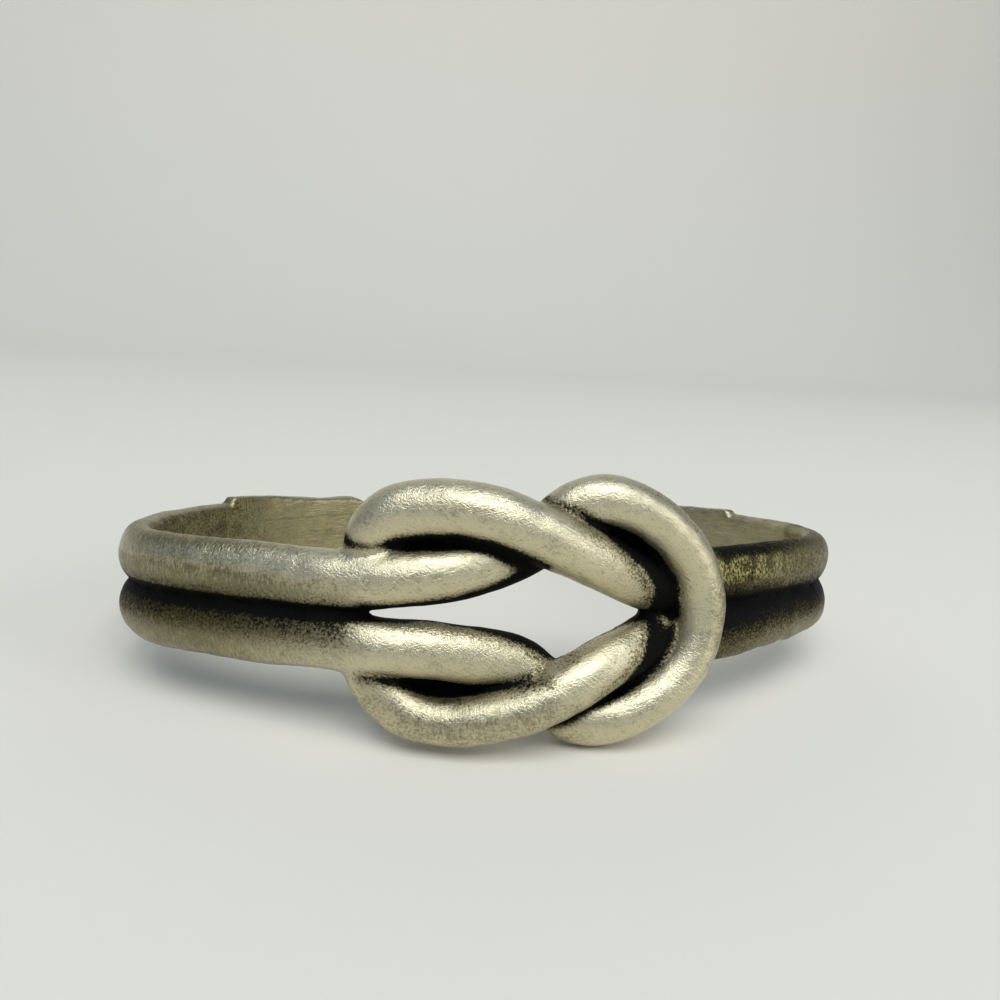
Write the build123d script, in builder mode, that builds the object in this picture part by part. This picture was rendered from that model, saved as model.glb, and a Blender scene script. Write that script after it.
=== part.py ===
from build123d import *
from math import atan2, degrees
import os

# An open cuff bracelet, cast in one piece. Two rods lie side by side round the wrist and tie a reef knot
# at the front: the rods from the left end in one loop, the rods from the right in another, and the two
# loops pass through each other. All lengths are in millimetres, all angles in degrees.
# The cuff is made level, with the knot at -Y, the opening at +Y and +Z up. Then it is tilted back until it
# rests on the knot's lower lobes and on its back ends, and its base is set on the ground.

# Wrist hollow: an oval of tangent arcs, its widest line at Y = 0
half_width = 30.0
front_depth = 15.6
back_depth = 25.0
front_corner_radius = 9.3
back_corner_radius = 16.5
opening = 21.0

# Rods, as whole ellipses before the wrist hollow cuts them flat
rod_height = 4.7
rod_depth = 3.15
rod_pitch = 4.5
flat_depth = 0.5
lift_fill = 0.5
back_share = 0.885
rod_station = 4.0

# Knot, drawn flat round its own centre
knot_shift = -0.9
knot_reach = 12.1
knot_rise = 8.0
band_blend = 5.0

# End plates: flat tongues inside the rods' ends, lower towards their free ends
plate_start_height = 9.0
plate_end_height = 7.6
plate_thickness = 1.3
plate_corner = 3.0
plate_stations = 6
left_plate_start = 50.0
right_plate_start = 44.7
tip_setback = 1.2

# Web: a thin skin behind the knot that closes it but for the diamond in its middle
web_thickness = 1.1

# Strip: the floor of the groove between the rods, from one plate round the front to the other
strip_thickness = 1.2
strip_height = 2.4
plate_lap = 2.0

# Working values: rounds to find the rest tilt, and step to find a rod's heading, as a share of its length
rest_rounds = 4
heading_step = 0.0005

# Sections of the left loop, from its upper rod round the end to its lower rod. Along is a share of the
# knot's reach, height of its rise, lift of the rod's depth and width of the rod's height.
left_loop = [
    # along, height, lift, width
    (-1.36, 0.265, 0.12, 0.96),
    (-1.12, 0.270, 0.22, 0.92),
    (-0.99, 0.280, 0.29, 0.89),
    (-0.78, 0.315, 0.33, 0.87),
    (-0.51, 0.375, 0.24, 0.86),
    (-0.28, 0.465, 0.10, 0.86),
    (-0.11, 0.570, 0.02, 0.86),
    (0.03, 0.712, 0.00, 0.86),
    (0.13, 0.880, 0.08, 0.83),
    (0.22, 0.985, 0.21, 0.81),
    (0.34, 1.035, 0.36, 0.79),
    (0.48, 1.005, 0.53, 0.79),
    (0.63, 0.900, 0.64, 0.79),
    (0.77, 0.730, 0.69, 0.78),
    (0.89, 0.515, 0.71, 0.77),
    (0.965, 0.295, 0.71, 0.76),
    (0.995, 0.060, 0.71, 0.76),
    (0.985, -0.180, 0.71, 0.76),
    (0.94, -0.390, 0.71, 0.77),
    (0.86, -0.570, 0.69, 0.78),
    (0.75, -0.730, 0.66, 0.79),
    (0.62, -0.870, 0.60, 0.80),
    (0.49, -0.955, 0.49, 0.81),
    (0.38, -0.995, 0.35, 0.82),
    (0.27, -0.985, 0.20, 0.82),
    (0.18, -0.900, 0.08, 0.83),
    (0.08, -0.705, 0.00, 0.87),
    (-0.06, -0.525, 0.02, 0.90),
    (-0.25, -0.405, 0.10, 0.88),
    (-0.50, -0.345, 0.24, 0.88),
    (-0.78, -0.300, 0.33, 0.87),
    (-0.99, -0.288, 0.29, 0.89),
    (-1.12, -0.275, 0.22, 0.92),
    (-1.36, -0.265, 0.12, 0.96),
]

# Sections of the right loop, the same way round: upper rod first, then the end, then the lower rod.
right_loop = [
    # along, height, lift, width
    (1.30, 0.275, 0.00, 0.96),
    (1.05, 0.255, 0.00, 0.93),
    (0.87, 0.225, 0.06, 0.90),
    (0.74, 0.230, 0.16, 0.88),
    (0.61, 0.300, 0.27, 0.87),
    (0.46, 0.405, 0.39, 0.87),
    (0.31, 0.520, 0.53, 0.87),
    (0.13, 0.638, 0.64, 0.89),
    (-0.05, 0.763, 0.67, 0.90),
    (-0.25, 0.880, 0.61, 0.89),
    (-0.46, 0.940, 0.48, 0.90),
    (-0.66, 0.930, 0.34, 0.89),
    (-0.82, 0.868, 0.24, 0.88),
    (-0.93, 0.745, 0.16, 0.82),
    (-1.00, 0.560, 0.02, 0.68),
    (-1.05, 0.330, -0.20, 0.50),
    (-1.07, 0.060, -0.30, 0.44),
    (-1.05, -0.220, -0.20, 0.50),
    (-1.00, -0.450, 0.02, 0.66),
    (-0.93, -0.620, 0.13, 0.76),
    (-0.84, -0.765, 0.20, 0.78),
    (-0.72, -0.890, 0.28, 0.77),
    (-0.57, -0.938, 0.39, 0.76),
    (-0.40, -0.938, 0.50, 0.77),
    (-0.23, -0.882, 0.60, 0.79),
    (-0.05, -0.785, 0.67, 0.81),
    (0.13, -0.650, 0.67, 0.83),
    (0.31, -0.508, 0.57, 0.83),
    (0.47, -0.410, 0.42, 0.83),
    (0.62, -0.335, 0.28, 0.84),
    (0.75, -0.270, 0.16, 0.87),
    (0.88, -0.260, 0.06, 0.90),
    (1.05, -0.280, 0.00, 0.94),
    (1.30, -0.288, 0.00, 0.97),
]

# Outline of the web and of the diamond in it, under the middles of the rods, clockwise from the left
web_outline = [
    # along, height
    (-1.00, 0.20),
    (-0.96, 0.60),
    (-0.80, 0.86),
    (-0.50, 0.93),
    (-0.20, 0.85),
    (0.10, 0.80),
    (0.30, 1.00),
    (0.50, 0.98),
    (0.70, 0.80),
    (0.86, 0.50),
    (0.93, 0.00),
    (0.84, -0.50),
    (0.66, -0.78),
    (0.45, -0.95),
    (0.25, -0.92),
    (0.08, -0.72),
    (-0.20, -0.84),
    (-0.50, -0.91),
    (-0.80, -0.80),
    (-0.96, -0.50),
    (-1.00, -0.20),
]
diamond_outline = [
    # along, height
    (-1.10, 0.00),
    (-1.00, 0.12),
    (-0.60, 0.22),
    (-0.05, 0.52),
    (0.35, 0.36),
    (0.70, 0.08),
    (0.70, -0.08),
    (0.35, -0.34),
    (0.02, -0.54),
    (-0.60, -0.20),
    (-1.00, -0.12),
]

# Rounded tips of the rods: how far back from the tip, and how full, in shares of the rod's depth
rod_tip = [
    # back, full
    (0.00, 0.35),
    (0.12, 0.68),
    (0.35, 0.90),
    (0.70, 1.00),
]


def long_radius(depth, corner):
    """Radius of the shallow arc that meets a corner arc smoothly and crosses the middle at a depth."""
    across = half_width - corner
    return (across ** 2 + depth ** 2 - corner ** 2) / (2 * (depth - corner))


def long_turn(depth, corner):
    """Turn of the shallow arc, from the middle to where the corner arc begins."""
    return degrees(atan2(half_width - corner, long_radius(depth, corner) - depth))


front_radius = long_radius(front_depth, front_corner_radius)
front_turn = long_turn(front_depth, front_corner_radius)
back_radius = long_radius(back_depth, back_corner_radius)
back_turn = long_turn(back_depth, back_corner_radius)

with BuildLine() as half_oval:
    CenterArc((0, front_radius - front_depth), front_radius, -90, front_turn)
    CenterArc((half_width - front_corner_radius, 0), front_corner_radius, front_turn - 90, 90 - front_turn)
    CenterArc((half_width - back_corner_radius, 0), back_corner_radius, 0, 90 - back_turn)
    CenterArc((0, back_depth - back_radius), back_radius, 90 - back_turn, back_turn)

oval = half_oval.wires()[0]
half_length = oval.length
plate_end = half_length - opening / 2


def out_direction(along):
    """Outward direction of the inner face at a distance along it from the front centre."""
    heading = oval.tangent_at(abs(along), position_mode=PositionMode.LENGTH)
    side = 1 if along >= 0 else -1
    return Vector(side * heading.Y, -heading.X, 0)


def on_wrist(along, height, out):
    """Point at a distance along the inner face, a height above its middle and a distance out from it."""
    foot = oval.position_at(abs(along), position_mode=PositionMode.LENGTH)
    side = 1 if along >= 0 else -1
    return Vector(side * foot.X, foot.Y, height) + out_direction(along) * out


def thinning(along):
    """Size of the rods at a place, as a share of their size at the front."""
    return 1 - (1 - back_share) * abs(along) / half_length


base_out = rod_depth / 2 - flat_depth


def band_row(along, level, full):
    """Flat row of a band's rod: place along, level, distance out, height and depth of the section."""
    size = thinning(along)
    section = size * full
    return (along, level * rod_pitch / 2 * size, base_out * size, rod_height * section, rod_depth * section)


def band_rows(side, level):
    """Rows of one rod of the band, from its rounded tip to the knot."""
    knot_side = knot_shift + (left_loop if side < 0 else right_loop)[0][0] * knot_reach
    last = abs(knot_side) + band_blend
    tip = plate_end - tip_setback
    rows = [band_row(side * (tip - back * rod_depth), level, full) for back, full in rod_tip]
    first = tip - rod_tip[-1][0] * rod_depth
    count = round((first - last) / rod_station)
    for i in range(1, count + 1):
        rows.append(band_row(side * (first + (last - first) * i / count), level, 1.0))
    return rows


def knot_row(along, height, lift, width):
    """Flat row of a knot's section, in millimetres."""
    place = knot_shift + along * knot_reach
    out = base_out + (1 - lift_fill / 2) * lift * rod_depth
    return (place, height * knot_rise, out, width * rod_height, rod_depth * (1 + lift_fill * lift))


def loop_rows(side, table):
    """All rows of one loop, from the tip of its upper rod round the knot to the tip of its lower rod."""
    knot = [knot_row(*row) for row in table]
    return band_rows(side, 1) + knot + band_rows(side, -1)[::-1]


def section_planes(rows):
    """Plane of each row's section, square to the line through all the rows."""
    flat = Edge.make_spline([Vector(*row[:3]) for row in rows])
    planes = []
    for row in rows:
        here = flat.param_at_point(Vector(*row[:3]))
        before = flat.position_at(max(here - heading_step, 0))
        after = flat.position_at(min(here + heading_step, 1))
        heading = on_wrist(*after) - on_wrist(*before)
        inward = out_direction(row[0]) * -1
        inward = inward - heading * (inward.dot(heading) / heading.dot(heading))
        planes.append(Plane(origin=on_wrist(*row[:3]), x_dir=inward, z_dir=heading))
    return planes


def rod_section(row, plane):
    """Ellipse of a row in two arcs, an upper and a lower one."""
    along, level, out, height, depth = row
    with BuildSketch(plane) as section:
        with BuildLine():
            EllipticalCenterArc((0, 0), depth / 2, height / 2, 0, arc_size=180)
            EllipticalCenterArc((0, 0), depth / 2, height / 2, 180, arc_size=180)
        make_face()
    return section.sketch.face()


def make_rod(rows, planes, first, last):
    """Stretch of a rod from one of its sections to another."""
    with BuildPart() as rod:
        loft([rod_section(rows[i], planes[i]) for i in range(first, last + 1)])
    return rod.part


# The left loop is lofted in three stretches, which meet where it passes lowest under the right loop
left_rows = loop_rows(-1, left_loop)
left_planes = section_planes(left_rows)
band_count = len(band_rows(-1, 1))
least_lift = min(lift for along, height, lift, width in left_loop)
left_dives = [band_count + i for i, row in enumerate(left_loop) if row[2] == least_lift]
left_upper_rod = make_rod(left_rows, left_planes, 0, left_dives[0])
left_bight = make_rod(left_rows, left_planes, left_dives[0], left_dives[-1])
left_lower_rod = make_rod(left_rows, left_planes, left_dives[-1], len(left_rows) - 1)

# The right loop is lofted in two, which meet in its end, hidden under the left loop
right_rows = loop_rows(1, right_loop)
right_planes = section_planes(right_rows)
right_end = right_rows.index(min(right_rows))
right_upper_rod = make_rod(right_rows, right_planes, 0, right_end)
right_lower_rod = make_rod(right_rows, right_planes, right_end, len(right_rows) - 1)


def make_plate(start, side):
    """Flat tongue on the wrist side of the rods' ends, with round corners at its free end."""
    sections = []
    for i in range(plate_stations + 1):
        share = i / plate_stations
        place = side * (start + (plate_end - start) * share)
        height = plate_start_height + (plate_end_height - plate_start_height) * share
        middle = (plate_thickness - flat_depth) / 2
        upright = Plane(origin=on_wrist(place, 0, middle), x_dir=out_direction(place),
                        z_dir=Vector(0, 0, 1).cross(out_direction(place)))
        with BuildSketch(upright) as section:
            Rectangle(plate_thickness + flat_depth, height)
        sections.append(section.sketch.face())
    with BuildPart() as plate:
        loft(sections)
        end = on_wrist(side * plate_end, 0, 0)
        last_face = plate.faces().sort_by(lambda face: (face.center() - end).length)[0]
        corners = last_face.edges().sort_by(lambda edge: edge.length)[:2]
        fillet(corners, plate_corner)
    return plate.part


left_plate = make_plate(left_plate_start, -1)
right_plate = make_plate(right_plate_start, 1)


def wrist_disc(height, margin):
    """Level disc as high as given, with the outline of the wrist hollow and a margin round it."""
    with BuildPart() as disc:
        with BuildSketch(Plane.XY.offset(-height / 2)):
            with BuildLine():
                add(oval)
                mirror(oval, about=Plane.YZ)
            make_face()
            if margin:
                offset(amount=margin)
        extrude(amount=height)
    return disc.part


def web_points(outline):
    """Corners of an outline in the web, as places across and up from the middle of the front."""
    return [(knot_shift + along * knot_reach, height * knot_rise) for along, height in outline]


tall = 4 * knot_rise
strip_back = on_wrist(max(left_plate_start, right_plate_start) + plate_lap, 0, 0).Y

with BuildPart() as strip:
    add(wrist_disc(strip_height, strip_thickness))
    split(bisect_by=Plane.XZ.offset(-strip_back), keep=Keep.TOP)

with BuildPart() as web:
    add(wrist_disc(tall, web_thickness))
    with BuildSketch(Plane.XZ):
        Polygon(*web_points(web_outline), align=None)
    extrude(amount=2 * front_depth, mode=Mode.INTERSECT)
    add(strip.part)
    with BuildSketch(Plane.XZ):
        Polygon(*web_points(diamond_outline), align=None)
    extrude(amount=2 * front_depth, mode=Mode.SUBTRACT)

with BuildPart() as level_cuff:
    add([left_upper_rod, left_bight, left_lower_rod, right_upper_rod, right_lower_rod])
    add([left_plate, right_plate])
    add(web.part)
    add(wrist_disc(tall, 0), mode=Mode.SUBTRACT)

# Rest pose: the turn about X at which the knot and the back ends touch the ground together
front_feet = [split(rod, Plane.XZ, keep=Keep.TOP) for rod in (left_bight, left_lower_rod, right_lower_rod)]
back_feet = [split(rod, Plane.XZ, keep=Keep.BOTTOM) for rod in (left_lower_rod, right_lower_rod)]
back_feet += [left_plate, right_plate]


def foot(pieces, tilt):
    """Lowest height of some pieces after a turn about X."""
    return min((Rot(X=tilt) * piece).bounding_box().min.Z for piece in pieces)


rest_tilt = 0.0
for _ in range(rest_rounds):
    drop = foot(front_feet, rest_tilt) - foot(back_feet, rest_tilt)
    rest_tilt += degrees(atan2(drop, front_depth + back_depth))

tilted_cuff = Rot(X=rest_tilt) * level_cuff.part
box = tilted_cuff.bounding_box()

with BuildPart() as cuff:
    add(Pos(-box.center().X, -box.center().Y, -box.min.Z) * tilted_cuff)

cuff.part.label = "cuff"
os.makedirs("parts", exist_ok=True)
export_step(cuff.part, "parts/cuff.step")
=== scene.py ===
"""Looks of the knot cuff bracelet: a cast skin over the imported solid, pewter, floor, light and camera."""
import math
from types import SimpleNamespace

import bpy
import numpy as np
from mathutils import Matrix, Vector
from mathutils.bvhtree import BVHTree
from mathutils.kdtree import KDTree


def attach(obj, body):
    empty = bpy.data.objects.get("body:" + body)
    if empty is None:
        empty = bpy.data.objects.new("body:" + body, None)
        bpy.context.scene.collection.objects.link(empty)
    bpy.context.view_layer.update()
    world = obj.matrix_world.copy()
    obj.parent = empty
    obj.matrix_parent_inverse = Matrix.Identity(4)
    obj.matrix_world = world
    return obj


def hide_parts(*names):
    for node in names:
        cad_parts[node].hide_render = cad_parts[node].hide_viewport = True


MM = 0.001

# Pose of the level cuff in the frame: it leans back about X, and this is where its oval's centre lies, in mm
LEAN = math.radians(-8.1687)
LEVEL_CENTRE = np.array([-0.0188, -1.7823, 7.3777])

# Wrist hollow, an oval of tangent arcs, in mm
HALF_WIDTH = 30.0
FRONT_DEPTH = 15.6
BACK_DEPTH = 25.0
FRONT_CORNER = 9.3
BACK_CORNER = 16.5
ARC_POINTS = 200

# Rods and knot, in mm
ROD_PITCH = 4.5
ROD_OUT = 1.075
KNOT_SHIFT = -0.9
KNOT_REACH = 12.1
KNOT_RISE = 8.0
BACK_SHARE = 0.885

# Middle lines of the knot's two loops: along in the knot's reach, height in its rise, distance out in mm
LEFT_LOOP = [
    # along, height, out
    (-1.36, 0.27, 1.4),
    (-0.78, 0.32, 1.9),
    (-0.28, 0.47, 1.3),
    (0.03, 0.71, 1.1),
    (0.22, 0.98, 1.6),
    (0.48, 1.00, 2.3),
    (0.77, 0.73, 2.7),
    (0.96, 0.30, 2.75),
    (0.99, -0.15, 2.75),
    (0.86, -0.57, 2.7),
    (0.62, -0.87, 2.5),
    (0.38, -1.00, 1.9),
    (0.18, -0.90, 1.3),
    (0.08, -0.70, 1.1),
    (-0.25, -0.41, 1.3),
    (-0.78, -0.30, 1.9),
    (-1.36, -0.27, 1.4),
]
RIGHT_LOOP = [
    # along, height, out
    (1.30, 0.27, 1.1),
    (0.87, 0.23, 1.2),
    (0.61, 0.30, 1.7),
    (0.31, 0.52, 2.3),
    (-0.05, 0.76, 2.7),
    (-0.46, 0.94, 2.2),
    (-0.82, 0.87, 1.6),
    (-1.00, 0.56, 1.1),
    (-1.07, 0.06, 0.4),
    (-1.00, -0.45, 1.1),
    (-0.84, -0.77, 1.5),
    (-0.57, -0.94, 2.0),
    (-0.23, -0.88, 2.5),
    (0.13, -0.65, 2.7),
    (0.47, -0.41, 2.1),
    (0.75, -0.27, 1.4),
    (1.05, -0.28, 1.1),
    (1.30, -0.28, 1.1),
]

# Middle lines of the strands, in mm: the gap that keeps their running lengths apart, the step between
# points, and for a band how many rows stand for it and how far from the knot's first one they end
STRAND_GAP = 500.0
LINE_STEP = 0.4
BAND_STATIONS = 40
BAND_CLEARANCE = 3.0

# Cast skin: voxel of the remesh in mm, rounds of smoothing of the shape, its shelter and its finish with
# painted light and shade, and the share of the way to the neighbours' mean that a round goes
VOXEL = 0.235
SMOOTHING = 3
SHELTER_SMOOTHING = 3
FINISH_AND_LIGHT_SMOOTHING = 2
HALF_WAY = 0.5

# Undulation of the skin: sizes and depths in mm, and the seeds of its two sets of waves
SWELL_SIZE = 5.0
SWELL_DEPTH = 0.045
SWELL_SEED = 3
RIPPLE_SIZE = 1.4
RIPPLE_DEPTH = 0.012
RIPPLE_SEED = 5
WAVES = 24

# In the changes below, two numbers say where one starts and where it is whole. Four say where a stretch
# starts, is whole, is whole to the last, and ends. They are in mm in the level cuff's own axes, or shares.

# Back plates, left and right: where they start along the hollow, and how far their top edges rise there,
# then the rise's stretch past the start and its heights
PLATE_STARTS = (50.0, 44.7)
PLATE_RISES = (0.42, 0.2)
PLATE_STRETCH = (-0.1, 0.25, 4.5, 12.0)
PLATE_HEIGHTS = (3.3, 4.3)

# Underside of the right lower rod: one stretch across is evened, and others are filled out
EVENED_ROUNDS = 40
EVENED_STRETCH = (20.5, 22.5, 25.5, 27.5)
EVENED_HEIGHTS = (-2.6, -3.6)
FILLED_HEIGHTS = (-2.4, -3.6)
FILLED_STRETCHES = [
    # depth, stretch
    (0.21, (13.6, 15.0, 17.0, 19.5)),
    (0.33, (22.2, 24.0, 24.8, 27.8)),
]

# Shelter of the surface: rays that a vertex sends out, their reach and their start off the surface
RAYS = 48
RAY_REACH = 3.0
RAY_LIFT = 0.06

# Creases: hollow that counts as a full one, rounds of smoothing that spread it, and the cut made along it
FULL_CREASE = 0.02
CREASE_SPREAD = 10
CREASE_DEPTH = 0.18
CREASE_CUT = (0.3, 1.0)

# Knot and bands: the bands' start beside the knot's middle, with half the width of the change there,
# the start of the right band's own finish, and the heights between the upper rod and the lower one
BAND_START = 13.0
BAND_CHANGE = 1.5
RIGHT_BAND_START = (12.5, 14.5)
LOWER_ROD = (0.3, -0.3)

# Ring: the left strand's running length where it crosses over at the right, and how far off that the strand
# may be darkened, where it dives under the others before and after
RING_START = 85.5
RING_END = 113.5
RING_MARGIN = 2.0
DIVE_BEFORE = (77.5, 80.5)
DIVE_AFTER = (121.5, 118.5)

# Rim of the ring, by distances from the ring's middle (across and up), heights and places across
RING_MIDDLE = (2.5, -0.5)
RIM_RADII = (9.5, 10.6)
RIM_HEIGHTS = (2.0, 5.0)
RIM_ACROSS = (4.5, 7.0)

# Patina on the knot: share of shelter, deep sides by distance out and height, share of crease, and a bare
# spot (across and up) with its distances
CLOSED_IN = (0.2, 0.5)
DEEP_OUT = (2.1, 1.2)
DEEP_HEIGHTS = (8.2, 6.5)
CREASED = (0.25, 0.8)
BARE_SPOT = (8.9, -0.5)
BARE_RADII = (1.0, 0.1)

# Patina between the rods: the groove, the rods' sides that face it (partly patina, partly painted shade),
# and how it fades towards the back
GROOVE = (0.65, 0.25)
LOWER_SIDE_PATINA_AND_SHADE = (-3.5, -0.4)
UPPER_SIDE_PATINA_AND_SHADE = (2.6, 0.5)
TURNED_AWAY = (-3.0, 7.0)

# Patina on the right band, by places across and by heights on the upper rod and in the groove
RIGHT_NEAR_KNOT = (24.0, 14.0)
RIGHT_END = (34.0, 26.0)
UPPER_MIDDLE = (1.4, 2.4)
UPPER_TOP = (3.5, 4.1, 4.3, 4.6)
UPPER_TOP_END = (28.0, 20.0)
BRIGHT_LINE = (0.25, 0.08)

# Wear and painted light: the left band worn towards the knot, a painted highlight along its shoulder,
# painted shade on the flank below, and painted shade on the knot's lower left lobe
LEFT_WORN = (-26.0, -13.0)
SHOULDER_HIGHLIGHT_HEIGHT = 3.2
SHOULDER_HIGHLIGHT_WIDTH = (1.0, 0.3)
FLANK_SHADE_HEIGHT = 1.7
FLANK_SHADE_WIDTH = (0.9, 0.2)
LOBE_SHADE_HEIGHTS = (-4.5, -6.0)
LOBE_SHADE_ACROSS = (4.0, 1.0)

# Moss-coloured tarnish on the right band's upper rod
MOSS_HEIGHTS = (1.4, 2.2, 3.6, 4.2)
MOSS_ACROSS = (23.0, 17.0)

# Inner faces: how far their normals point along the way out, and where their two ends change across
INNER_FACING = (-0.35, -0.75)
INNER_LEFT_END = (-18.0, -27.0)
INNER_RIGHT_END = (8.0, 20.0)

# Lines where patina has gathered on the knot's front, and one of painted shade beside the right loop, with
# the width of their soft edge, in mm
SEAM_AND_SHADE_LINES = [
    # over the upper left strand, under the loop that crosses it
    (0.7, [
        # across and up from the oval's middle, half width
        (-15.4, 7.6, -0.5),
        (-15.3, 5.9, 0.15),
        (-14.3, 4.95, 0.15),
        (-12.9, 4.8, -0.05),
        (-12.2, 4.9, 0.0),
        (-11.2, 5.15, 0.3),
        (-9.1, 5.35, 0.42),
        (-6.9, 5.4, 0.42),
        (-4.8, 5.1, 0.4),
        (-2.6, 4.25, 0.4),
        (-1.2, 3.85, 0.25),
    ]),
    # between the lower left strand and the loop below it
    (1.2, [
        (-13.2, -4.3, 0.0),
        (-11.2, -4.6, 0.15),
        (-9.1, -4.95, 0.3),
        (-7.0, -5.15, 0.25),
        (-4.8, -5.1, 0.05),
        (-2.6, -4.7, -0.05),
        (-0.5, -4.1, -0.1),
    ]),
    # underside of the upper left strand, along the opening
    (0.9, [
        (-13.2, 0.3, 0.4),
        (-10.1, 0.65, 0.3),
        (-7.0, 1.25, 0.25),
        (-4.4, 2.0, 0.25),
        (-2.2, 2.85, 0.25),
        (-0.8, 3.3, 0.05),
    ]),
    # top of the lower left strand, along the opening
    (1.4, [
        (-13.2, 0.15, 0.0),
        (-10.1, -0.2, 0.0),
        (-8.0, -0.4, 0.0),
        (-5.8, -0.75, 0.0),
        (-3.7, -1.3, 0.05),
        (-1.5, -2.0, 0.1),
        (0.3, -2.8, 0.1),
    ]),
    # top of the lower crossing strand, along the opening
    (1.1, [
        (0.7, -2.9, -0.05),
        (3.2, -1.4, -0.05),
        (5.8, -0.1, 0.2),
    ]),
    # inner side of the right loop
    (1.0, [
        (-0.7, 8.3, -0.05),
        (1.1, 7.7, 0.0),
        (3.2, 6.4, 0.2),
        (5.35, 5.0, 0.4),
        (7.1, 3.9, 0.6),
        (8.3, 2.4, 0.8),
        (8.6, 0.5, 1.1),
        (8.4, -1.3, 1.0),
        (7.4, -3.3, 0.75),
        (5.6, -4.9, 0.4),
        (3.5, -6.0, 0.2),
        (1.8, -7.0, 0.1),
        (0.4, -7.9, 0.0),
        (-0.6, -8.3, -0.05),
    ]),
    # painted shade on the ends of the strands that meet the right loop, only dimmed
    (1.9, [
        (0.9, 7.0, -0.6),
        (2.9, 5.9, -0.3),
        (4.6, 4.7, -0.15),
        (6.0, 3.4, -0.1),
        (6.9, 2.0, -0.1),
        (7.0, 0.3, -0.1),
        (6.9, -1.4, -0.1),
        (6.2, -2.9, -0.2),
        (4.6, -4.3, -0.35),
        (2.9, -5.4, -0.5),
    ]),
]

# Darkest middle of a seam, by the distance past its half width
SEAM_CORE = (0.25, -0.1)

# Pewter: polished, dull and mossy tones, and black for patina and painted shade
CHAMPAGNE = (0.60, 0.525, 0.295)
OLIVE = (0.14, 0.115, 0.027)
MOSS = (0.34, 0.30, 0.06)
PATINA_AND_SHADE_BLACK = (0.003, 0.003, 0.0025)
FINISH_AND_LIGHT_VALUES = ("patina", "wear", "green", "inner")

# Marks in the pewter: sizes in mm, and the angles of the polishing strokes on the knot in degrees
STROKE_SIZE = 0.15
INNER_STROKE_SIZE = 0.2
MOSS_STROKE_SIZE = 0.2
MOSS_PATCH_SIZE = 1.6
GRAIN_SIZE = 0.12
SPECK_SIZE = 0.19
STAIN_SIZE = 0.9
MOTTLE_SIZE = 1.2
SCRATCH_ANGLES = (12.0, -35.0)

# Depths of the marks, in mm
MOTTLE_DEPTH = 0.08
STROKE_DEPTH = 0.055
GRAIN_DEPTH = 0.035

# Clear reflection over the pewter, which whitens the highlights
COAT_IOR = 2.4
COAT_ROUGHNESS = 0.32

# Camera, in mm and degrees
CAMERA_PLACE = (-15.3996, -65.6624, 30.1807)
CAMERA_AZIMUTH = 13.258
CAMERA_ELEVATION = -13.927
CAMERA_ROLL = 4.071
CAMERA_LENS = 26.3613
CAMERA_SENSOR = 36.0
CAMERA_NEAREST = 1.0

# Lamps and the place that they point at, in metres and watts
LAMP_AIM = Vector((0.0, 0.0, 0.01))
LAMPS = [
    # name, direction from the aim, distance, size, power, colour
    ("key", (-0.05, -0.45, 0.89), 1.1, (1.05, 0.7), 10.4, (0.97, 0.985, 1.0)),
    ("fill", (0.8, -0.5, 0.35), 0.9, (0.4, 0.6), 2.2, (1.0, 0.98, 0.94)),
]

# Room: its colours, and the heights between which they change, as shares of the way up
ROOM_HORIZON = (0.275, 0.295, 0.32, 1.0)
ROOM_OVERHEAD = (0.13, 0.205, 0.32, 1.0)
ROOM_HEIGHTS = (0.05, 0.65)

# Sweep under and behind the cuff, in metres
SWEEP_HALF_WIDTH = 1.4
SWEEP_FRONT = -1.0
SWEEP_BACK = 0.34
SWEEP_BEND = 0.3
SWEEP_TOP = 1.1
SWEEP_STEPS = 24

# Its paper: colour, how much darker it is in patches, their size in metres, and roughness
SWEEP_COLOUR = (0.765, 0.73, 0.635)
SWEEP_SHADE = 0.985
SWEEP_PATCH = 0.15
SWEEP_ROUGHNESS = 0.75


def fade(value, start, end):
    """Smooth step from 0 at start to 1 at end, whichever is larger."""
    share = np.clip((value - start) / (end - start), 0, 1)
    return share * share * (3 - 2 * share)


def stretch(value, start, whole, last, end):
    """Share that rises from 0 at start to 1 where it is whole, and falls again from the last to 0 at end."""
    return fade(value, start, whole) * fade(value, end, last)


def to_level(points):
    """Points in mm in the frame, turned back into the level cuff's own axes."""
    back = np.array(Matrix.Rotation(-LEAN, 3, "X"))
    return (points - LEVEL_CENTRE) @ back.T


def oval_line():
    """Half of the hollow's outline, from its front to its back: points, outward directions and lengths."""
    def long_arc(depth, corner):
        """Radius of the arc at the front or back, and its turn up to the corner's arc."""
        across = HALF_WIDTH - corner
        radius = (across ** 2 + depth ** 2 - corner ** 2) / (2 * (depth - corner))
        return radius, math.atan2(across, radius - depth)

    front, front_turn = long_arc(FRONT_DEPTH, FRONT_CORNER)
    back, back_turn = long_arc(BACK_DEPTH, BACK_CORNER)
    quarter = math.pi / 2
    arcs = [
        ((0, front - FRONT_DEPTH), front, -quarter, front_turn - quarter),
        ((HALF_WIDTH - FRONT_CORNER, 0), FRONT_CORNER, front_turn - quarter, 0),
        ((HALF_WIDTH - BACK_CORNER, 0), BACK_CORNER, 0, quarter - back_turn),
        ((0, BACK_DEPTH - back), back, quarter - back_turn, quarter),
    ]
    points, outs = [], []
    for centre, radius, start, end in arcs:
        for turn in np.linspace(start, end, ARC_POINTS, endpoint=False):
            out = np.array([math.cos(turn), math.sin(turn)])
            points.append(np.array(centre) + radius * out)
            outs.append(out)
    points, outs = np.array(points), np.array(outs)
    steps = np.hypot(*np.diff(points, axis=0).T)
    return points, outs, np.concatenate([[0], np.cumsum(steps)])


OVAL, OVAL_OUT, OVAL_LENGTH = oval_line()


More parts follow.
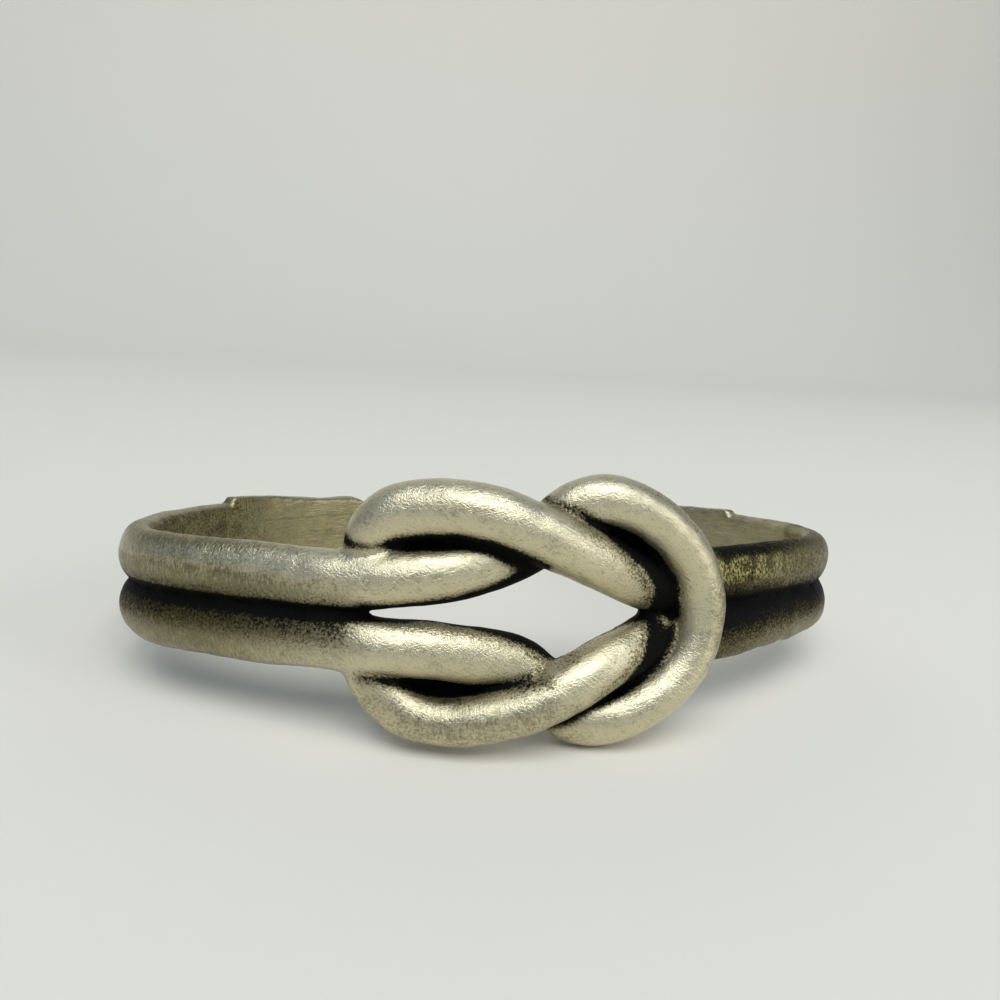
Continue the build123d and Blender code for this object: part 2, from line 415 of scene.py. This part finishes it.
def on_wrist(along, height, out):
    """Points of the level cuff at distances along the inner face, heights and distances out from it."""
    side = np.where(along < 0, -1.0, 1.0)
    x, y, nx, ny = (np.interp(np.abs(along), OVAL_LENGTH, v) for v in (*OVAL.T, *OVAL_OUT.T))
    return np.stack([side * (x + nx * out), y + ny * out, height], 1)


def strand_line(side, table):
    """Middle line of a strand from its upper back end to its lower one, with its running length."""
    knot = np.array(table) * (KNOT_REACH, KNOT_RISE, 1) + (KNOT_SHIFT, 0, 0)
    band = side * np.linspace(OVAL_LENGTH[-1], abs(knot[0, 0]) + BAND_CLEARANCE, BAND_STATIONS)
    size = 1 - (1 - BACK_SHARE) * np.abs(band) / OVAL_LENGTH[-1]
    upper = np.stack([band, ROD_PITCH / 2 * size, ROD_OUT * size], 1)
    rows = np.concatenate([upper, knot, upper[::-1] * (1, -1, 1)])
    points = on_wrist(*rows.T)
    run = np.concatenate([[0], np.cumsum(np.linalg.norm(np.diff(points, axis=0), axis=1))])
    even = np.arange(0, run[-1], LINE_STEP)
    return np.stack([np.interp(even, run, column) for column in points.T], 1), even


def strand_lines():
    """Middle lines of the two strands, one after the other, with running lengths kept apart."""
    left, left_run = strand_line(-1, LEFT_LOOP)
    right, right_run = strand_line(1, RIGHT_LOOP)
    return np.concatenate([left, right]), np.concatenate([left_run, right_run + STRAND_GAP])


def mesh_points(mesh):
    """Vertex places of a mesh as an array."""
    found = np.zeros(len(mesh.vertices) * 3, np.float32)
    mesh.vertices.foreach_get("co", found)
    return found.reshape(-1, 3).astype(float)


def mesh_normals(mesh):
    """Vertex normals of a mesh as an array."""
    found = np.zeros(len(mesh.vertices) * 3, np.float32)
    mesh.vertex_normals.foreach_get("vector", found)
    return found.reshape(-1, 3).astype(float)


def move_points(mesh, points):
    """Sets the vertex places of a mesh."""
    mesh.vertices.foreach_set("co", points.astype(np.float32).ravel())
    mesh.update()


def add_value(mesh, name, values):
    """Stores one number a vertex under a name."""
    mesh.attributes.new(name, "FLOAT", "POINT").data.foreach_set("value", values.astype(np.float32))


def add_vector(mesh, name, values):
    """Stores one vector a vertex under a name."""
    stored = mesh.attributes.new(name, "FLOAT_VECTOR", "POINT")
    stored.data.foreach_set("vector", values.astype(np.float32).ravel())


def edge_pairs(mesh):
    """Vertex numbers of each edge."""
    found = np.zeros(len(mesh.edges) * 2, np.int32)
    mesh.edges.foreach_get("vertices", found)
    return found.reshape(-1, 2)


def neighbour_mean(values, pairs):
    """Mean of each vertex's neighbours, column by column."""
    count = len(values)
    degree = np.bincount(pairs.ravel(), minlength=count)
    ends = np.concatenate([pairs[:, 0], pairs[:, 1]])
    others = np.concatenate([pairs[:, 1], pairs[:, 0]])
    total = [np.bincount(ends, column[others], count) for column in values.T]
    return np.stack(total, 1) / degree[:, None]


def smooth(values, pairs, rounds, share):
    """Moves vertex values towards their neighbours' by a share, which may differ from vertex to vertex."""
    for _ in range(rounds):
        values = values + (neighbour_mean(values, pairs) - values) * share
    return values


def ray_directions(count):
    """Directions spread over the half sphere round +Z, denser towards it."""
    golden = math.pi * (3 - math.sqrt(5))
    rays = []
    for i in range(count):
        height = math.sqrt(1 - (i + 0.5) / count)
        spread = math.sqrt(1 - height * height)
        rays.append(Vector((spread * math.cos(golden * i), spread * math.sin(golden * i), height)))
    return rays


def shelter(mesh):
    """How closed in each vertex is by the forms close round it, from 0 in the open to 1."""
    tree = BVHTree.FromPolygons([v.co for v in mesh.vertices], [p.vertices for p in mesh.polygons])
    rays = ray_directions(RAYS)
    found = np.zeros((len(mesh.vertices), 1))
    for i, vertex in enumerate(mesh.vertices):
        turn = vertex.normal.to_track_quat("Z", "Y").to_matrix()
        start = vertex.co + vertex.normal * RAY_LIFT
        distances = [tree.ray_cast(start, turn @ ray, RAY_REACH)[3] for ray in rays]
        found[i] = sum(1 - distance / RAY_REACH for distance in distances if distance is not None) / RAYS
    return found


def crease_of(mesh, points, pairs):
    """Hollow creases, spread a little over the surface beside them, about 1 in the middle of a sharp one."""
    hollow = ((neighbour_mean(points, pairs) - points) * mesh_normals(mesh)).sum(1)
    spread = smooth(np.clip(hollow, 0, None)[:, None], pairs, CREASE_SPREAD, HALF_WAY)[:, 0]
    return np.clip(spread / FULL_CREASE, 0, 1.5)


def swell(points, size, seed):
    """Smooth random heights, mostly from -1 to 1, over points, as a sum of waves."""
    random = np.random.default_rng(seed)
    height = np.zeros(len(points))
    for _ in range(WAVES):
        wave = random.normal(size=3)
        wave *= 2 * math.pi / (size * np.linalg.norm(wave) * random.uniform(0.7, 1.5))
        height += np.sin(points @ wave + random.uniform(0, 2 * math.pi))
    return height / math.sqrt(WAVES)


def nearest_of(points, found):
    """For each point of a list, number of the nearest of some others and its distance."""
    tree = KDTree(len(found))
    for i, each in enumerate(found):
        tree.insert(each, i)
    tree.balance()
    hits = [tree.find(point) for point in points]
    return np.array([hit[1] for hit in hits]), np.array([hit[2] for hit in hits])


def beside_wrist(level):
    """Number of the outline's point that each point lies beside, and the distance between them."""
    flat = np.zeros(len(level))
    on_right = np.stack([np.abs(level[:, 0]), level[:, 1], flat], 1)
    return nearest_of(on_right, np.pad(OVAL, ((0, 0), (0, 1))))


def wrist_offset(level):
    """Distance out from the wrist hollow, and the outward direction there."""
    number, distance = beside_wrist(level)
    outward = OVAL_OUT[number]
    outward[:, 0] *= np.sign(level[:, 0])
    return distance, outward


def distance_to(places, spot):
    """Distances from places in the front plane to a spot there."""
    return np.linalg.norm(places - spot, axis=1)


def drawn_line(places, soft, rows):
    """How dark points are on and beside a line whose rows give two coordinates and half its width."""
    drawn = np.zeros(len(places))
    rows = np.array(rows)
    for row, next_row in zip(rows[:-1], rows[1:]):
        start, half = row[:2], row[2]
        along, growth = next_row[:2] - start, next_row[2] - half
        share = np.clip((places - start) @ along / (along @ along), 0, 1)
        gap = distance_to(places, start + share[:, None] * along) - half - share * growth
        drawn = np.maximum(drawn, 0.5 * fade(gap, *SEAM_CORE) + 0.55 * fade(gap, soft, SEAM_CORE[1]))
    return drawn


def regions_of(level, normals, run):
    """Place of each vertex on the level cuff, and shares from 0 to 1 for the regions that it lies in."""
    at = SimpleNamespace()
    at.across, back, at.height = level.T
    at.places = level[:, (0, 2)]
    at.front = (back < 0).astype(float)
    at.left = (at.across < 0).astype(float)
    at.ring = ((run > RING_START) & (run < RING_END)).astype(float)
    beside = np.abs(at.across - KNOT_SHIFT)
    at.knot = at.front * fade(beside, BAND_START + BAND_CHANGE, BAND_START - BAND_CHANGE)
    at.band = (at.front - at.knot) * (1 - at.ring)
    at.right_band = at.band * fade(at.across, *RIGHT_BAND_START)
    at.lower = fade(at.height, *LOWER_ROD)
    at.turned_away = fade(back, *TURNED_AWAY)
    at.out, outward = wrist_offset(level)
    at.inner = fade((normals[:, :2] * outward).sum(1), *INNER_FACING)
    at.rim = at.ring * fade(distance_to(at.places, RING_MIDDLE), *RIM_RADII)
    at.rim *= fade(at.height, *RIM_HEIGHTS) * fade(at.across, *RIM_ACROSS)
    before = fade(run, *DIVE_BEFORE) * (run < RING_START - RING_MARGIN)
    after = fade(run, *DIVE_AFTER) * (run > RING_END + RING_MARGIN)
    at.dive = (before + 0.3 * after) * (run < STRAND_GAP / 2)
    return at


def patina_and_shade_of(at, sheltered, crease):
    """Patina and painted shade, from 0 to a little over 1 where it is thickest."""
    # Knot: closed-in places, sides too deep for the polishing wheel, diving strands and the ring's rim
    deep = fade(at.out, *DEEP_OUT) * fade(np.abs(at.height), *DEEP_HEIGHTS)
    patina = at.knot * (0.9 * fade(sheltered, *CLOSED_IN) + 0.7 * deep + 0.7 * at.dive + 0.4 * at.rim)
    patina += at.front * np.max([drawn_line(at.places, *dark_line) for dark_line in SEAM_AND_SHADE_LINES], 0)
    patina += 0.4 * fade(crease, *CREASED)
    patina -= 0.65 * at.knot * (1 - at.ring) * fade(distance_to(at.places, BARE_SPOT), *BARE_RADII)

    # Groove between the rods, fainter towards the back, and the sides of the rods that face it: partly
    # patina, partly painted shade where one rod shades the other
    groove = fade(np.abs(at.height), *GROOVE) * (1.2 - 0.75 * at.turned_away)
    patina += (at.band + 1 - at.front) * groove
    patina += at.band * at.lower * (0.6 * fade(at.height, *LOWER_SIDE_PATINA_AND_SHADE) + 0.15)
    patina += at.band * (1 - at.lower) * 0.5 * fade(at.height, *UPPER_SIDE_PATINA_AND_SHADE)

    # Right band: darker towards the knot and on the upper rod's middle and top, less along the groove's line
    dark = (0.15 + 0.2 * fade(at.across, *RIGHT_NEAR_KNOT)) * fade(at.across, *RIGHT_END)
    top = stretch(at.height, *UPPER_TOP) * fade(at.across, *UPPER_TOP_END)
    line = fade(np.abs(at.height), *BRIGHT_LINE)
    patina += at.right_band * (dark + 0.3 * fade(at.height, *UPPER_MIDDLE) + 0.3 * top - line)

    # Inner faces: a trace all over, with more in creases and at the left end
    patina += at.inner * (0.4 * crease + 0.1 + 0.4 * fade(at.across, *INNER_LEFT_END) - patina)
    return np.clip(patina, 0, 1.25)


def wear_and_painted_light_of(at):
    """Wear with painted highlight and painted shade in it, from 0 where the metal is dull to 1 where it is
    polished.
    """
    # Knot polished, and the left band worn towards it; a painted highlight along its shoulder, and painted
    # shade on the flank below
    left_band = at.band * at.left
    wear = at.front * np.maximum(at.knot, 0.8 * fade(at.across, *LEFT_WORN) * at.left)
    wear += 0.5 * left_band * fade(np.abs(at.height - SHOULDER_HIGHLIGHT_HEIGHT), *SHOULDER_HIGHLIGHT_WIDTH)
    # Painted shade: a darker band along the flank below the shoulder
    wear -= 0.3 * left_band * fade(np.abs(at.height - FLANK_SHADE_HEIGHT), *FLANK_SHADE_WIDTH)

    # Painted shade on the knot's lower left lobe, the right band duller, and the back half the same all over
    wear -= 0.5 * at.knot * fade(at.height, *LOBE_SHADE_HEIGHTS) * fade(at.across, *LOBE_SHADE_ACROSS)
    wear -= 0.25 * at.right_band
    wear = np.where(at.front > 0, wear, 0.3)
    wear += at.inner * (0.2 * fade(at.across, *INNER_RIGHT_END) - 0.1)
    return np.clip(wear, 0, 1)


def green_of(at):
    """Moss-coloured tarnish, on the right band's upper rod, the ring's rim and a little on inner faces."""
    upper_rod = stretch(at.height, *MOSS_HEIGHTS) * (0.45 + 0.55 * fade(at.across, *MOSS_ACROSS))
    return np.clip(at.right_band * upper_rod + 0.6 * at.rim + 0.45 * at.inner, 0, 1)


def finish_and_light_of(level, normals, run, sheltered, crease):
    """The values of the finish and of the painted light and shade at points of the level cuff, in the order
    of their names.
    """
    at = regions_of(level, normals, run)
    return np.stack([patina_and_shade_of(at, sheltered, crease), wear_and_painted_light_of(at), green_of(at), at.inner], 1)


def remeshed(node):
    """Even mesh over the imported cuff, in mm, on an object of its own."""
    mesh = node.data.copy()
    mesh.materials.clear()
    mesh.transform(Matrix.Scale(1 / MM, 4))
    skin = bpy.data.objects.new("cuff_cast", mesh)
    bpy.context.scene.collection.objects.link(skin)
    remesh = skin.modifiers.new("remesh", "REMESH")
    remesh.mode = "VOXEL"
    remesh.voxel_size = VOXEL
    remesh.adaptivity = 0.0
    shaped = bpy.data.meshes.new_from_object(skin.evaluated_get(bpy.context.evaluated_depsgraph_get()))
    skin.modifiers.clear()
    skin.data = shaped
    shaped.name = "cuff_cast"
    return skin


def strand_values(level):
    """Running length along the nearest strand and turn round it, in mm, for points of the level cuff."""
    line, run = strand_lines()
    nearest = nearest_of(level, line)[0]
    heading = np.gradient(line, axis=0)
    heading /= np.linalg.norm(heading, axis=1)[:, None]
    near, ahead = line[nearest], heading[nearest]
    offset = level - near
    forward = (offset * ahead).sum(1)
    offset -= forward[:, None] * ahead
    out = np.stack([near[:, 0], near[:, 1], np.zeros(len(near))], 1)
    out -= (out * ahead).sum(1)[:, None] * ahead
    out /= np.linalg.norm(out, axis=1)[:, None]
    side = np.cross(ahead, out)
    turn = np.arctan2((offset * side).sum(1), (offset * out).sum(1)) * ROD_PITCH / 2
    return run[nearest] + forward, turn


def evened(points, pairs):
    """Points with the slight bump under the right band's lower rod smoothed away."""
    across, back, height = to_level(points).T
    share = stretch(across, *EVENED_STRETCH) * fade(height, *EVENED_HEIGHTS) * (back < 0)
    return smooth(points, pairs, EVENED_ROUNDS, HALF_WAY * share[:, None])


def filled_out(points):
    """Points with the back plates' top edges raised at their start, and the right lower rod fuller below."""
    level = to_level(points)
    across, back, height = level.T
    on_left = across < 0
    past_start = OVAL_LENGTH[beside_wrist(level)[0]] - np.where(on_left, *PLATE_STARTS)
    rise = np.where(on_left, *PLATE_RISES) * stretch(past_start, *PLATE_STRETCH)
    rise *= fade(height, *PLATE_HEIGHTS)
    drop = sum(depth * stretch(across, *places) for depth, places in FILLED_STRETCHES)
    rise -= drop * fade(height, *FILLED_HEIGHTS) * (back < 0)
    upright = np.array(Matrix.Rotation(LEAN, 3, "X") @ Vector((0.0, 0.0, 1.0)))
    return points + rise[:, None] * upright


def cast_skin(node):
    """Cuff as cast and finished by hand: soft creases, a slight swell, and the values its finish and painted
    light and shade read.
    """
    skin = remeshed(node)
    mesh = skin.data
    pairs = edge_pairs(mesh)
    points = smooth(mesh_points(mesh), pairs, SMOOTHING, HALF_WAY)
    points = filled_out(evened(points, pairs))
    move_points(mesh, points)
    sheltered = smooth(shelter(mesh), pairs, SHELTER_SMOOTHING, HALF_WAY)[:, 0]
    crease = crease_of(mesh, points, pairs)
    height = SWELL_DEPTH * swell(points, SWELL_SIZE, SWELL_SEED)
    height += RIPPLE_DEPTH * swell(points, RIPPLE_SIZE, RIPPLE_SEED)
    height -= CREASE_DEPTH * fade(crease, *CREASE_CUT)
    move_points(mesh, points + mesh_normals(mesh) * height[:, None])
    level = to_level(points)
    run, turn = strand_values(level)
    values = finish_and_light_of(level, mesh_normals(mesh), run, sheltered, crease)
    values = smooth(values, pairs, FINISH_AND_LIGHT_SMOOTHING, HALF_WAY)
    for name, value in zip(FINISH_AND_LIGHT_VALUES, values.T):
        add_value(mesh, name, value)
    add_vector(mesh, "strand", np.stack([run, turn, np.zeros(len(run))], 1))
    add_vector(mesh, "place", level)
    mesh.transform(Matrix.Scale(MM, 4))
    for polygon in mesh.polygons:
        polygon.use_smooth = True
    return skin


class Shader:
    """Short calls for building a material's nodes."""

    def __init__(self, name):
        self.material = bpy.data.materials.new(name)
        self.material.use_nodes = True
        self.tree = self.material.node_tree
        self.surface = self.tree.nodes["Principled BSDF"]

    def node(self, kind, **settings):
        """New node with its settings."""
        made = self.tree.nodes.new(kind)
        for key, value in settings.items():
            setattr(made, key, value)
        return made

    def link(self, value, socket):
        """Sets a socket to a number or a colour, or joins it to another node's output."""
        if isinstance(value, bpy.types.NodeSocket):
            self.tree.links.new(value, socket)
        else:
            socket.default_value = value

    def set(self, name, value):
        """Gives the surface's input a value."""
        self.link(value, self.surface.inputs[name])

    def attribute(self, name, output="Fac"):
        """Value stored on the mesh under a name."""
        return self.node("ShaderNodeAttribute", attribute_name=name).outputs[output]

    def math(self, operation, first, second=0.0, third=0.0):
        """Result of an operation on up to three numbers."""
        made = self.node("ShaderNodeMath", operation=operation)
        for value, socket in zip((first, second, third), made.inputs):
            self.link(value, socket)
        return made.outputs[0]

    def swing(self, noise, amount, base):
        """Base plus a noise's swing about its middle, times an amount."""
        return self.math("MULTIPLY_ADD", self.math("SUBTRACT", noise, 0.5), amount, base)

    def stretched(self, vector, factors):
        """Vector times a factor along each axis."""
        made = self.node("ShaderNodeVectorMath", operation="MULTIPLY")
        self.link(vector, made.inputs[0])
        self.link(factors, made.inputs[1])
        return made.outputs[0]

    def noise(self, vector, size, detail=3.0, rough=0.55):
        """Noise whose largest lumps are about as wide as size."""
        made = self.node("ShaderNodeTexNoise")
        self.link(vector, made.inputs["Vector"])
        self.link(1 / size, made.inputs["Scale"])
        self.link(detail, made.inputs["Detail"])
        self.link(rough, made.inputs["Roughness"])
        return made.outputs["Fac"]

    def scratches(self, vector, angle):
        """Noise drawn out into short strokes that rise to the right by an angle, seen from the front."""
        turned = self.node("ShaderNodeVectorRotate", rotation_type="Y_AXIS")
        self.link(vector, turned.inputs["Vector"])
        self.link(math.radians(angle), turned.inputs["Angle"])
        return self.noise(self.stretched(turned.outputs[0], (0.14, 0.5, 1.0)), STROKE_SIZE, 2.0, 0.6)

    def ramp(self, value, low, high, start=0.0, end=1.0):
        """Smooth change from start to end as a value goes from low to high."""
        made = self.node("ShaderNodeMapRange", interpolation_type="SMOOTHSTEP")
        for each, socket in zip((value, low, high, start, end), made.inputs):
            self.link(each, socket)
        return made.outputs[0]

    def blend(self, share, first, second):
        """Number between two numbers."""
        made = self.node("ShaderNodeMix", data_type="FLOAT")
        for value, socket in zip((share, first, second), (made.inputs[0], made.inputs[2], made.inputs[3])):
            self.link(value, socket)
        return made.outputs[0]

    def mix(self, share, first, second):
        """Colour between two colours."""
        made = self.node("ShaderNodeMix", data_type="RGBA")
        self.link(share, made.inputs[0])
        for value, socket in zip((first, second), made.inputs[6:8]):
            self.link(value + (1.0,) if isinstance(value, tuple) else value, socket)
        return made.outputs[2]

    def bump(self, height, depth, strength, before=None):
        """Normal bent by a height, on top of another one's bend."""
        made = self.node("ShaderNodeBump")
        self.link(strength, made.inputs["Strength"])
        self.link(depth * MM, made.inputs["Distance"])
        self.link(height, made.inputs["Height"])
        if before is not None:
            self.link(before, made.inputs["Normal"])
        return made.outputs[0]


def pewter_marks(s):
    """Values stored on the mesh, and the noises that the pewter's colour, gloss and relief share."""
    marks = SimpleNamespace(place=s.attribute("place", "Vector"), strand=s.attribute("strand", "Vector"))
    for name in FINISH_AND_LIGHT_VALUES:
        setattr(marks, name, s.attribute(name))
    round_rod = s.noise(s.stretched(marks.strand, (1.0, 0.16, 1.0)), STROKE_SIZE, 2.0)
    polished = s.math("MAXIMUM", *(s.scratches(marks.place, angle) for angle in SCRATCH_ANGLES))
    along_rod = s.noise(s.stretched(marks.strand, (0.15, 1.0, 1.0)), INNER_STROKE_SIZE, 2.0)
    marks.streak = s.blend(marks.inner, s.blend(marks.wear, round_rod, polished), along_rod)
    marks.grain = s.noise(marks.place, GRAIN_SIZE, 2.0, 0.7)
    marks.speck = s.noise(marks.place, SPECK_SIZE, 2.0, 0.8)
    marks.mottle = s.noise(marks.place, MOTTLE_SIZE, 4.0, 0.65)
    return marks


def moss_cover(s, marks):
    """Where moss-coloured tarnish lies: short strokes in patches."""
    strokes = s.noise(s.stretched(marks.strand, (1.0, 0.35, 1.0)), MOSS_STROKE_SIZE, 3.0, 0.75)
    patches = s.noise(marks.place, MOSS_PATCH_SIZE, 2.0)
    cover = s.math("MULTIPLY", s.ramp(strokes, 0.42, 0.60), s.ramp(patches, 0.36, 0.52))
    return s.math("MULTIPLY", cover, marks.green)


def patina_and_shade_cover(s, marks, moss):
    """Where black patina and painted shade lie, with a ragged edge."""
    edge = s.swing(marks.mottle, 0.5, marks.patina)
    edge = s.swing(marks.speck, 1.3, edge)
    edge = s.swing(marks.streak, 0.5, edge)
    return s.ramp(s.math("MULTIPLY_ADD", moss, -0.35, edge), 0.12, 0.85)


def pewter_colour(s, marks, moss, dark):
    """Dull to polished metal with painted highlight and shade, uneven where it isn't an inner face, under
    moss-coloured stains, patina and painted shade.
    """
    uneven = s.swing(marks.mottle, 1.6, 0.0)
    uneven = s.swing(marks.streak, 2.8, uneven)
    uneven = s.swing(marks.speck, 2.4, uneven)
    contrast = s.math("MULTIPLY_ADD", marks.inner, -0.6, 1.0)
    shine = s.math("MULTIPLY_ADD", uneven, contrast, marks.wear)
    colour = s.mix(s.ramp(shine, -0.3, 1.3), OLIVE, CHAMPAGNE)
    stains = s.ramp(s.noise(marks.place, STAIN_SIZE, 3.0, 0.75), 0.60, 0.74, 0.0, 0.5)
    colour = s.mix(s.math("MAXIMUM", moss, stains), colour, MOSS)
    return s.mix(dark, colour, PATINA_AND_SHADE_BLACK)


def pewter():
    """Antique pewter: satin, brushed across the rods, with black patina in every recess, and painted
    highlight and shade in its colour.
    """
    s = Shader("antique_pewter")
    marks = pewter_marks(s)
    moss = moss_cover(s, marks)
    dark = patina_and_shade_cover(s, marks, moss)
    s.set("Base Color", pewter_colour(s, marks, moss, dark))
    s.set("Metallic", s.ramp(dark, 0.3, 1.0, 1.0, 0.1))
    s.set("Specular IOR Level", 0.05)
    rough = s.swing(marks.streak, 0.2, s.ramp(marks.grain, 0.3, 0.7, 0.30, 0.46))
    s.set("Roughness", s.math("MULTIPLY_ADD", dark, 0.22, rough))

    normal = s.bump(marks.mottle, MOTTLE_DEPTH, 0.4)
    normal = s.bump(marks.streak, STROKE_DEPTH, 1.0, normal)
    normal = s.bump(marks.grain, GRAIN_DEPTH, 1.0, normal)
    s.set("Normal", normal)

    # Clear reflection: strongest on polished metal, gone where patina and painted shade are thick
    clear = s.math("MULTIPLY", s.ramp(dark, 0.0, 0.6, 0.9, 0.0), s.ramp(marks.wear, 0.0, 0.9, 0.45, 1.0))
    s.set("Coat Weight", clear)
    s.set("Coat IOR", COAT_IOR)
    s.set("Coat Roughness", COAT_ROUGHNESS)
    s.set("Coat Normal", normal)
    return s.material


def sweep_paper():
    """Plain matt finish with a faint unevenness."""
    s = Shader("sweep_paper")
    coordinates = s.node("ShaderNodeTexCoord").outputs["Object"]
    shaded = tuple(SWEEP_SHADE * channel for channel in SWEEP_COLOUR)
    s.set("Base Color", s.mix(s.noise(coordinates, SWEEP_PATCH, 2.0), SWEEP_COLOUR, shaded))
    s.set("Roughness", SWEEP_ROUGHNESS)
    return s.material


def sweep():
    """Floor that bends up into a backdrop with no visible join."""
    profile = [(SWEEP_FRONT, 0.0), (SWEEP_BACK, 0.0)]
    for i in range(1, SWEEP_STEPS + 1):
        turn = math.pi / 2 * i / SWEEP_STEPS
        profile.append((SWEEP_BACK + SWEEP_BEND * math.sin(turn), SWEEP_BEND * (1 - math.cos(turn))))
    profile.append((SWEEP_BACK + SWEEP_BEND, SWEEP_TOP))
    points = [(x, y, z) for x in (-SWEEP_HALF_WIDTH, SWEEP_HALF_WIDTH) for y, z in profile]
    count = len(profile)
    faces = [(i, count + i, count + i + 1, i + 1) for i in range(count - 1)]
    mesh = bpy.data.meshes.new("sweep")
    mesh.from_pydata(points, [], faces)
    for polygon in mesh.polygons:
        polygon.use_smooth = True
    mesh.materials.append(sweep_paper())
    floor = bpy.data.objects.new("sweep", mesh)
    bpy.context.scene.collection.objects.link(floor)
    return floor


def soft_lamp(name, direction, distance, size, watts, colour):
    """Rectangular area light in a direction from the lamps' aim, pointed back at it."""
    light = bpy.data.lights.new(name, "AREA")
    light.shape = "RECTANGLE"
    light.size, light.size_y = size
    light.energy = watts
    light.color = colour
    lamp = bpy.data.objects.new(name, light)
    lamp.location = LAMP_AIM + distance * Vector(direction)
    lamp.rotation_euler = (-Vector(direction)).to_track_quat("-Z", "Y").to_euler()
    bpy.context.scene.collection.objects.link(lamp)


def room():
    """Surroundings that are pale at the horizon and bluish overhead."""
    world = bpy.data.worlds.new("room")
    world.use_nodes = True
    tree = world.node_tree
    background = tree.nodes["Background"]
    direction = tree.nodes.new("ShaderNodeTexCoord").outputs["Generated"]
    parts = tree.nodes.new("ShaderNodeSeparateXYZ")
    tree.links.new(direction, parts.inputs[0])
    height = tree.nodes.new("ShaderNodeMapRange")
    height.interpolation_type = "SMOOTHSTEP"
    height.inputs["From Min"].default_value, height.inputs["From Max"].default_value = ROOM_HEIGHTS
    tree.links.new(parts.outputs["Z"], height.inputs["Value"])
    colour = tree.nodes.new("ShaderNodeMix")
    colour.data_type = "RGBA"
    tree.links.new(height.outputs[0], colour.inputs[0])
    colour.inputs[6].default_value = ROOM_HORIZON
    colour.inputs[7].default_value = ROOM_OVERHEAD
    tree.links.new(colour.outputs[2], background.inputs["Color"])
    background.inputs["Strength"].default_value = 1.0
    return world


def lighting():
    """Large light from above and in front, a weaker one from the right, and the room."""
    for lamp in LAMPS:
        soft_lamp(*lamp)
    bpy.context.scene.world = room()
    bpy.context.scene.view_settings.view_transform = "Standard"


def camera():
    """Camera where the photograph was taken from."""
    lens = bpy.data.cameras.new("camera")
    lens.lens = CAMERA_LENS
    lens.sensor_width = CAMERA_SENSOR
    lens.clip_start = CAMERA_NEAREST * MM
    eye = bpy.data.objects.new("camera", lens)
    aim = Matrix.Rotation(math.radians(-CAMERA_AZIMUTH), 4, "Z")
    aim @= Matrix.Rotation(math.radians(90 + CAMERA_ELEVATION), 4, "X")
    aim @= Matrix.Rotation(math.radians(CAMERA_ROLL), 4, "Z")
    eye.matrix_world = Matrix.Translation(Vector(CAMERA_PLACE) * MM) @ aim
    bpy.context.scene.collection.objects.link(eye)
    bpy.context.scene.camera = eye


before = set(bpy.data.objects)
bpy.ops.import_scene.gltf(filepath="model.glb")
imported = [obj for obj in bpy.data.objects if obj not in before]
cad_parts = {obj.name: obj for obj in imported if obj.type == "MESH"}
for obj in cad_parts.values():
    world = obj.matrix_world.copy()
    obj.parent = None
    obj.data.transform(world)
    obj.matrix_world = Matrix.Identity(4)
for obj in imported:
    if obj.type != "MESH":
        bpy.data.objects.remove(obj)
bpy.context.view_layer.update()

cuff = cast_skin(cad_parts["cuff"])
cuff.data.materials.append(pewter())
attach(cuff, "root")
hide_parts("cuff")

sweep()
lighting()
camera()
